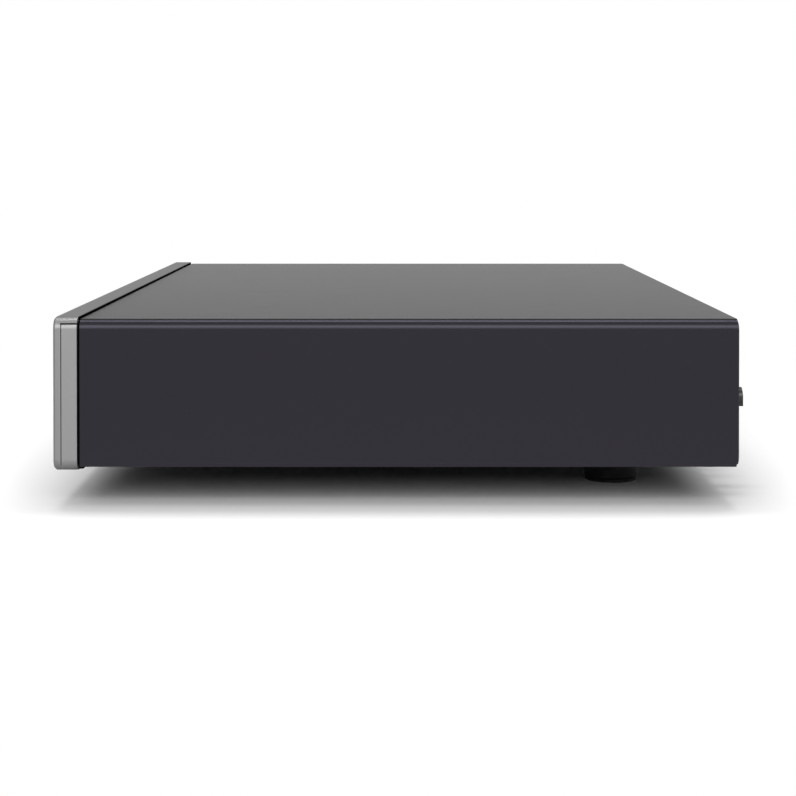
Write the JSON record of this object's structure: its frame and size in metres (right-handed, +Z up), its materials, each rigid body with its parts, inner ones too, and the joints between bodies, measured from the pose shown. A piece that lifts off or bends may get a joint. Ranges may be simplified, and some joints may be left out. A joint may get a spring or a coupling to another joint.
{
  "type": "cd transport",
  "caption": "Full-width disc transport: dark folded steel case, silver aluminium faceplate with drawer, display window and push buttons, three feet and rear digital sockets.",
  "frame": {"origin": "on the floor under the middle of the box that the player fills", "axes": "+X to the right seen from the front, -Y out of the front, +Z up"},
  "size_m": [0.43, 0.318, 0.085],
  "materials": {
    "base_screws": "black oxide",
    "cam_slider": "white acetal",
    "capacitors": "heat-shrink sleeve",
    "chassis_base": "powder coated steel",
    "clamp_bridge": "zinc plated steel",
    "control_board": "green solder mask",
    "damper_bushes": "soft butyl rubber",
    "disc_clamper": "black plastic",
    "disc_tray": "fine textured black plastic",
    "display_module": "unlit display glass",
    "display_window": "polished dark acrylic",
    "dust_cap": "soft black plastic",
    "end_caps": "satin anodised",
    "feet": "moulded black plastic",
    "foot_pads": "matt rubber",
    "front_panel": "brushed and clear anodised",
    "front_subframe": "moulded black plastic",
    "guide_rods": "ground steel",
    "heat_sink": "black anodised",
    "infrared_jack": "black plastic",
    "inlet_pins": "nickel plated brass",
    "inner_screws": "zinc plated",
    "lift_cradle": "moulded black plastic",
    "loader_frame": "moulded black plastic",
    "loading_belt": "matt rubber",
    "loading_motor": "plated can",
    "main_board": "green solder mask",
    "mains_inlet": "black thermoplastic",
    "mains_wires": "brown insulation",
    "motor_pulley": "white acetal",
    "next_button": "turned and anodised",
    "objective_lens": "coated lens",
    "open_button": "turned and anodised",
    "optical_output": "black plastic",
    "optical_pickup": "die-cast zinc and black cover",
    "phono_jacks": "nickel plated",
    "play_button": "turned and anodised",
    "power_rocker": "black thermoplastic",
    "power_supply_board": "paper laminate",
    "previous_button": "turned and anodised",
    "pulley_gear": "white acetal",
    "rear_panel": "powder coated steel",
    "rear_screws": "black oxide",
    "ribbon_cable": "grey insulation",
    "serial_port": "tin plated shell",
    "sled_gear": "white acetal",
    "sled_motor": "plated can",
    "sled_pinion": "brass",
    "spindle_motor": "plated can",
    "standby_button": "turned and anodised",
    "standoffs": "plated steel",
    "stop_button": "turned and anodised",
    "switch_housing": "black thermoplastic",
    "top_cover": "fine textured powder coat, satin dark grey",
    "transformer_core": "varnished laminations",
    "transformer_winding": "polyester tape",
    "traverse_plate": "zinc plated steel",
    "tray_drive_gear": "white acetal",
    "tray_fascia": "brushed and clear anodised",
    "turntable": "black plastic with rubber seat"
  },
  "bodies": {
    "chassis": {"chassis_base": "chassis_base", "rear_panel": "rear_panel", "top_cover": "top_cover", "front_subframe": "front_subframe", "front_panel": "front_panel", "end_caps": "end_caps", "display_window": "display_window", "display_module": "display_module", "control_board": "control_board", "feet": "feet", "foot_pads": "foot_pads", "loader_frame": "loader_frame", "clamp_bridge": "clamp_bridge", "standoffs": "standoffs", "loading_motor": "loading_motor", "loading_belt": "loading_belt", "main_board": "main_board", "power_supply_board": "power_supply_board", "capacitors": "capacitors", "heat_sink": "heat_sink", "transformer_core": "transformer_core", "transformer_winding": "transformer_winding", "ribbon_cable": "ribbon_cable", "mains_wires": "mains_wires", "phono_jacks": "phono_jacks", "optical_output": "optical_output", "infrared_jack": "infrared_jack", "serial_port": "serial_port", "mains_inlet": "mains_inlet", "inlet_pins": "inlet_pins", "switch_housing": "switch_housing", "rear_screws": "rear_screws", "base_screws": "base_screws", "inner_screws": "inner_screws"},
    "tray": {"disc_tray": "disc_tray", "tray_fascia": "tray_fascia"},
    "standby_key": {"standby_button": "standby_button"},
    "open_key": {"open_button": "open_button"},
    "play_key": {"play_button": "play_button"},
    "stop_key": {"stop_button": "stop_button"},
    "previous_key": {"previous_button": "previous_button"},
    "next_key": {"next_button": "next_button"},
    "rocker": {"power_rocker": "power_rocker"},
    "cap": {"dust_cap": "dust_cap"},
    "drive_wheel": {"tray_drive_gear": "tray_drive_gear"},
    "belt_wheel": {"pulley_gear": "pulley_gear"},
    "motor_wheel": {"motor_pulley": "motor_pulley"},
    "lift": {"lift_cradle": "lift_cradle", "damper_bushes": "damper_bushes", "traverse_plate": "traverse_plate", "guide_rods": "guide_rods", "spindle_motor": "spindle_motor", "sled_motor": "sled_motor"},
    "cam": {"cam_slider": "cam_slider"},
    "platter": {"turntable": "turntable"},
    "puck": {"disc_clamper": "disc_clamper"},
    "pickup": {"optical_pickup": "optical_pickup"},
    "lens": {"objective_lens": "objective_lens"},
    "sled_wheel": {"sled_gear": "sled_gear"},
    "sled_pinion_wheel": {"sled_pinion": "sled_pinion"}
  },
  "joints": [
    {"name": "tray_slide", "type": "slide", "parent": "chassis", "child": "tray", "axis": [0, -1, 0], "range_m": [0, 0.14]},
    {"name": "drive_gear_turn", "type": "hinge", "parent": "chassis", "child": "drive_wheel", "pos_m": [-0.04535, -0.1295, 0.062], "axis": [0, 0, 1], "range_deg": [-5, 580]},
    {"name": "belt_wheel_turn", "type": "hinge", "parent": "chassis", "child": "belt_wheel", "pos_m": [-0.02335, -0.1295, 0.06], "axis": [0, 0, 1], "range_deg": [-1010, 5]},
    {"name": "motor_pulley_turn", "type": "hinge", "parent": "chassis", "child": "motor_wheel", "pos_m": [0.02165, -0.1295, 0.057], "axis": [0, 0, 1], "range_deg": [-3380, 5]},
    {"name": "lift_swing", "type": "hinge", "parent": "chassis", "child": "lift", "pos_m": [0, 0.008, 0.051], "axis": [1, 0, 0], "range_deg": [0, 3.91]},
    {"name": "cam_slide", "type": "slide", "parent": "chassis", "child": "cam", "axis": [1, 0, 0], "range_m": [0, 0.0202]},
    {"name": "turntable_spin", "type": "hinge", "parent": "lift", "child": "platter", "pos_m": [0, -0.08, 0.067], "axis": [0, 0, 1], "continuous": true},
    {"name": "clamper_spin", "type": "hinge", "parent": "chassis", "child": "puck", "pos_m": [0, -0.08, 0.071], "axis": [0, 0, 1], "continuous": true},
    {"name": "pickup_slide", "type": "slide", "parent": "lift", "child": "pickup", "axis": [0, 1, 0], "range_m": [0, 0.036]},
    {"name": "sled_gear_turn", "type": "hinge", "parent": "lift", "child": "sled_wheel", "pos_m": [0.03445, -0.04, 0.057], "axis": [0, 0, 1], "range_deg": [-435, 5]},
    {"name": "sled_pinion_turn", "type": "hinge", "parent": "lift", "child": "sled_pinion_wheel", "pos_m": [0.03445, -0.0508, 0.057], "axis": [0, 0, 1], "range_deg": [-5, 865]},
    {"name": "lens_focus", "type": "slide", "parent": "pickup", "child": "lens", "axis": [0, 0, 1], "range_m": [-0.0004, 0.0004], "stiffness_N_per_m": 60},
    {"name": "standby_press", "type": "slide", "parent": "chassis", "child": "standby_key", "axis": [0, 1, 0], "range_m": [0, 0.0006], "stiffness_N_per_m": 600, "springref_m": -0.0005},
    {"name": "open_press", "type": "slide", "parent": "chassis", "child": "open_key", "axis": [0, 1, 0], "range_m": [0, 0.0006], "stiffness_N_per_m": 600, "springref_m": -0.0005},
    {"name": "play_press", "type": "slide", "parent": "chassis", "child": "play_key", "axis": [0, 1, 0], "range_m": [0, 0.0006], "stiffness_N_per_m": 600, "springref_m": -0.0005},
    {"name": "stop_press", "type": "slide", "parent": "chassis", "child": "stop_key", "axis": [0, 1, 0], "range_m": [0, 0.0006], "stiffness_N_per_m": 600, "springref_m": -0.0005},
    {"name": "previous_press", "type": "slide", "parent": "chassis", "child": "previous_key", "axis": [0, 1, 0], "range_m": [0, 0.0006], "stiffness_N_per_m": 600, "springref_m": -0.0005},
    {"name": "next_press", "type": "slide", "parent": "chassis", "child": "next_key", "axis": [0, 1, 0], "range_m": [0, 0.0006], "stiffness_N_per_m": 600, "springref_m": -0.0005},
    {"name": "rocker_tilt", "type": "hinge", "parent": "chassis", "child": "rocker", "pos_m": [-0.126, 0.144, 0.047], "axis": [1, 0, 0], "range_deg": [0, 16]},
    {"name": "dust_cap_pull", "type": "slide", "parent": "chassis", "child": "cap", "axis": [0, 1, 0], "range_m": [0, 0.02]}
  ],
  "couplings": [
    {"joint": "drive_gear_turn", "follows": "tray_slide", "rad_per_m": 71.429},
    {"joint": "belt_wheel_turn", "follows": "tray_slide", "rad_per_m": -125},
    {"joint": "motor_pulley_turn", "follows": "tray_slide", "rad_per_m": -418.75},
    {"joint": "cam_slide", "follows": "lift_swing", "m_per_rad": 0.29311},
    {"joint": "clamper_spin", "follows": "turntable_spin", "ratio": 1},
    {"joint": "sled_gear_turn", "follows": "pickup_slide", "rad_per_m": -208.33},
    {"joint": "sled_pinion_turn", "follows": "pickup_slide", "rad_per_m": 416.67}
  ]
}
